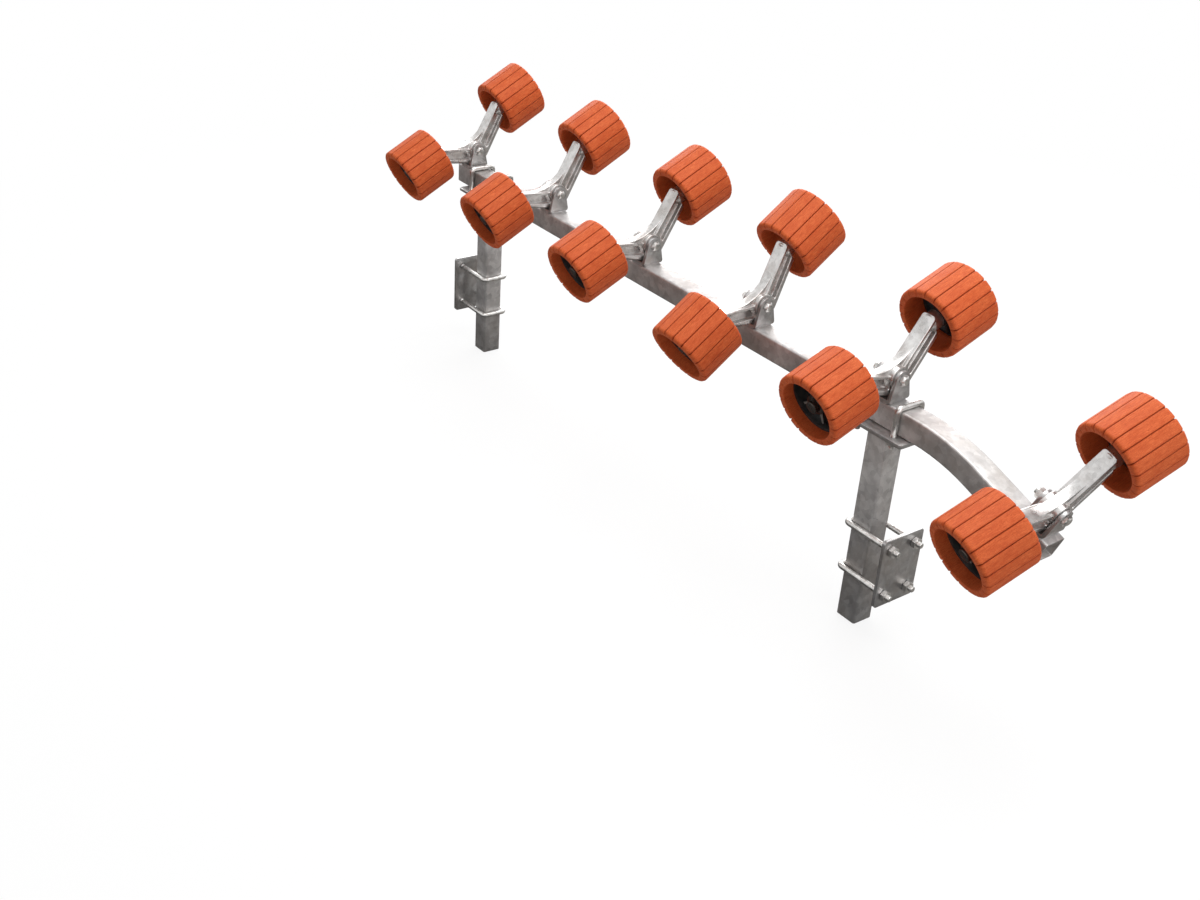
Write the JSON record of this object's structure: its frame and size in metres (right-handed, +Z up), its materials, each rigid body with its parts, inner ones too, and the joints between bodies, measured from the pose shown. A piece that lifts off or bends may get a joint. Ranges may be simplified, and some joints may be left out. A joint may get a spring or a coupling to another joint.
{
  "type": "curved roller bank",
  "caption": "Bent square-tube beam carrying tipping arms with pairs of ribbed rollers, on two clamp-on posts, to support and centre a boat hull on a trailer.",
  "frame": {"origin": "centre of the front post's seat, the face that the front cross-member is pulled against, at the middle of the clamp", "axes": "+X along the bank towards its bent-down front end, +Y across to the left-hand rollers, +Z up the posts"},
  "size_m": [1.6793, 0.3584, 0.6156],
  "materials": {
    "galvanised_tube": "hot-dip galvanised, dull with fine spangle",
    "galvanised_plate": "hot-dip galvanised, mottled",
    "galvanised_casting": "galvanised casting, slightly rough, bright edges",
    "zinc_hardware": "bright zinc plating",
    "roller_tyre": "orange moulded elastomer, satin",
    "roller_hub": "black moulded plastic"
  },
  "bodies": {
    "bank": {"beam": "galvanised_tube", "pivot_bracket_1": "galvanised_plate", "pivot_bracket_2": "galvanised_plate", "pivot_bracket_3": "galvanised_plate", "pivot_bracket_4": "galvanised_plate", "pivot_bracket_5": "galvanised_plate", "pivot_bracket_6": "galvanised_plate", "pivot_bolts": "zinc_hardware", "pivot_nuts": "zinc_hardware", "front_post": "galvanised_tube", "rear_post": "galvanised_tube", "front_saddle": "galvanised_plate", "rear_saddle": "galvanised_plate", "saddle_u_bolts": "zinc_hardware", "saddle_nuts": "zinc_hardware"},
    "rocker_1": {"rocker_arm_1": "galvanised_casting", "axle_keepers_1": "zinc_hardware"},
    "roller_left_1": {"tyre_left_1": "roller_tyre", "hub_left_1": "roller_hub"},
    "roller_right_1": {"tyre_right_1": "roller_tyre", "hub_right_1": "roller_hub"},
    "rocker_2": {"rocker_arm_2": "galvanised_casting", "axle_keepers_2": "zinc_hardware"},
    "roller_left_2": {"tyre_left_2": "roller_tyre", "hub_left_2": "roller_hub"},
    "roller_right_2": {"tyre_right_2": "roller_tyre", "hub_right_2": "roller_hub"},
    "rocker_3": {"rocker_arm_3": "galvanised_casting", "axle_keepers_3": "zinc_hardware"},
    "roller_left_3": {"tyre_left_3": "roller_tyre", "hub_left_3": "roller_hub"},
    "roller_right_3": {"tyre_right_3": "roller_tyre", "hub_right_3": "roller_hub"},
    "rocker_4": {"rocker_arm_4": "galvanised_casting", "axle_keepers_4": "zinc_hardware"},
    "roller_left_4": {"tyre_left_4": "roller_tyre", "hub_left_4": "roller_hub"},
    "roller_right_4": {"tyre_right_4": "roller_tyre", "hub_right_4": "roller_hub"},
    "rocker_5": {"rocker_arm_5": "galvanised_casting", "axle_keepers_5": "zinc_hardware"},
    "roller_left_5": {"tyre_left_5": "roller_tyre", "hub_left_5": "roller_hub"},
    "roller_right_5": {"tyre_right_5": "roller_tyre", "hub_right_5": "roller_hub"},
    "rocker_6": {"rocker_arm_6": "galvanised_casting", "axle_keepers_6": "zinc_hardware"},
    "roller_left_6": {"tyre_left_6": "roller_tyre", "hub_left_6": "roller_hub"},
    "roller_right_6": {"tyre_right_6": "roller_tyre", "hub_right_6": "roller_hub"},
    "front_clamp": {"front_clamp_plate": "galvanised_plate", "front_clamp_u_bolts": "zinc_hardware", "front_clamp_nuts": "zinc_hardware"},
    "rear_clamp": {"rear_clamp_plate": "galvanised_plate", "rear_clamp_u_bolts": "zinc_hardware", "rear_clamp_nuts": "zinc_hardware"}
  },
  "joints": [
    {"name": "rock_1", "type": "hinge", "parent": "bank", "child": "rocker_1", "pos_m": [-1.235, 0, 0.303], "axis": [1, 0, 0], "range_deg": [-66, 10]},
    {"name": "spin_left_1", "type": "hinge", "parent": "rocker_1", "child": "roller_left_1", "pos_m": [-1.235, 0.08906, 0.39962], "axis": [0, 0.8829, 0.4695], "continuous": true},
    {"name": "spin_right_1", "type": "hinge", "parent": "rocker_1", "child": "roller_right_1", "pos_m": [-1.235, -0.12991, 0.28319], "axis": [0, 0.8829, 0.4695], "continuous": true},
    {"name": "rock_2", "type": "hinge", "parent": "bank", "child": "rocker_2", "pos_m": [-0.933, 0, 0.303], "axis": [1, 0, 0], "range_deg": [-65.5, 10.5]},
    {"name": "spin_left_2", "type": "hinge", "parent": "rocker_2", "child": "roller_left_2", "pos_m": [-0.933, 0.0899, 0.39884], "axis": [0, 0.887, 0.4617], "continuous": true},
    {"name": "spin_right_2", "type": "hinge", "parent": "rocker_2", "child": "roller_right_2", "pos_m": [-0.933, -0.13007, 0.28433], "axis": [0, 0.887, 0.4617], "continuous": true},
    {"name": "rock_3", "type": "hinge", "parent": "bank", "child": "rocker_3", "pos_m": [-0.631, 0, 0.303], "axis": [1, 0, 0], "range_deg": [-63.5, 12.5]},
    {"name": "spin_left_3", "type": "hinge", "parent": "rocker_3", "child": "roller_left_3", "pos_m": [-0.631, 0.09319, 0.39565], "axis": [0, 0.9026, 0.4305], "continuous": true},
    {"name": "spin_right_3", "type": "hinge", "parent": "rocker_3", "child": "roller_right_3", "pos_m": [-0.631, -0.13065, 0.28888], "axis": [0, 0.9026, 0.4305], "continuous": true},
    {"name": "rock_4", "type": "hinge", "parent": "bank", "child": "rocker_4", "pos_m": [-0.329, 0, 0.303], "axis": [1, 0, 0], "range_deg": [-73, 3]},
    {"name": "spin_left_4", "type": "hinge", "parent": "rocker_4", "child": "roller_left_4", "pos_m": [-0.329, 0.07662, 0.40976], "axis": [0, 0.8192, 0.5736], "continuous": true},
    {"name": "spin_right_4", "type": "hinge", "parent": "rocker_4", "child": "roller_right_4", "pos_m": [-0.329, -0.12652, 0.26751], "axis": [0, 0.8192, 0.5736], "continuous": true},
    {"name": "rock_5", "type": "hinge", "parent": "bank", "child": "rocker_5", "pos_m": [-0.027, 0, 0.303], "axis": [1, 0, 0], "range_deg": [-58.5, 17.5]},
    {"name": "spin_left_5", "type": "hinge", "parent": "rocker_5", "child": "roller_left_5", "pos_m": [-0.027, 0.10091, 0.38717], "axis": [0, 0.9367, 0.3502], "continuous": true},
    {"name": "spin_right_5", "type": "hinge", "parent": "rocker_5", "child": "roller_right_5", "pos_m": [-0.027, -0.13138, 0.30032], "axis": [0, 0.9367, 0.3502], "continuous": true},
    {"name": "rock_6", "type": "hinge", "parent": "bank", "child": "rocker_6", "pos_m": [0.28579, 0, 0.23921], "axis": [0.9367, 0, -0.3502], "range_deg": [-64.5, 11.5]},
    {"name": "spin_left_6", "type": "hinge", "parent": "rocker_6", "child": "roller_left_6", "pos_m": [0.3188, 0.09156, 0.32749], "axis": [0.1563, 0.8949, 0.4179], "continuous": true},
    {"name": "spin_right_6", "type": "hinge", "parent": "rocker_6", "child": "roller_right_6", "pos_m": [0.28004, -0.13038, 0.22384], "axis": [0.1563, 0.8949, 0.4179], "continuous": true},
    {"name": "front_clamp_height", "type": "slide", "parent": "bank", "child": "front_clamp", "axis": [0, 0, 1], "range_m": [-0.075, 0.12]},
    {"name": "rear_clamp_height", "type": "slide", "parent": "bank", "child": "rear_clamp", "axis": [0, 0, 1], "range_m": [-0.075, 0.12]}
  ]
}
